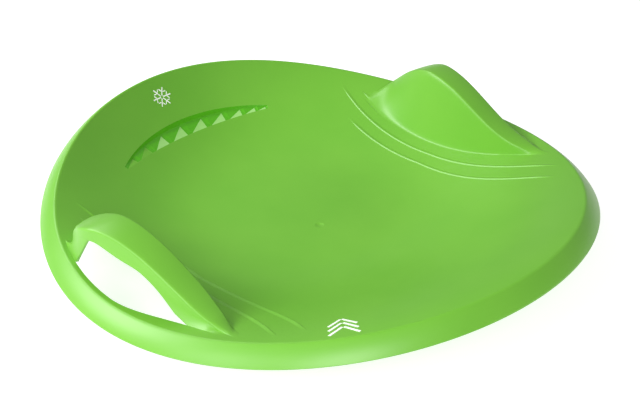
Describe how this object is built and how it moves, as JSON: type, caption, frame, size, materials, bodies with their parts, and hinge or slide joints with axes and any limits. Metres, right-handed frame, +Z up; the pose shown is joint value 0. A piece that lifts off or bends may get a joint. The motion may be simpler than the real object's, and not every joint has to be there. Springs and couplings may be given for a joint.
{
  "type": "saucer sled",
  "caption": "Round moulded plastic snow saucer: a shallow dish with a turned-down rim, arched hand grips over open slots and a toothed heel ledge in the raised nose",
  "frame": {"origin": "the middle of the flat underside of the dish, on the surface that the sled rests on", "axes": "+Z up out of the dish, +Y to the raised nose with the toothed ledge, +X to the rider's right hand"},
  "size_m": [0.598, 0.598, 0.1005],
  "materials": {
    "green_moulding": "bright green injection-moulded polyethylene, satin, with a fine mould texture"
  },
  "bodies": {
    "root": {"saucer_pan": "green_moulding", "rolled_rim": "green_moulding", "left_handle": "green_moulding", "right_handle": "green_moulding", "left_slot_sill": "green_moulding", "right_slot_sill": "green_moulding", "heel_teeth": "green_moulding", "left_handle_steps": "green_moulding", "right_handle_steps": "green_moulding", "gate_mark": "green_moulding"}
  },
  "joints": []
}
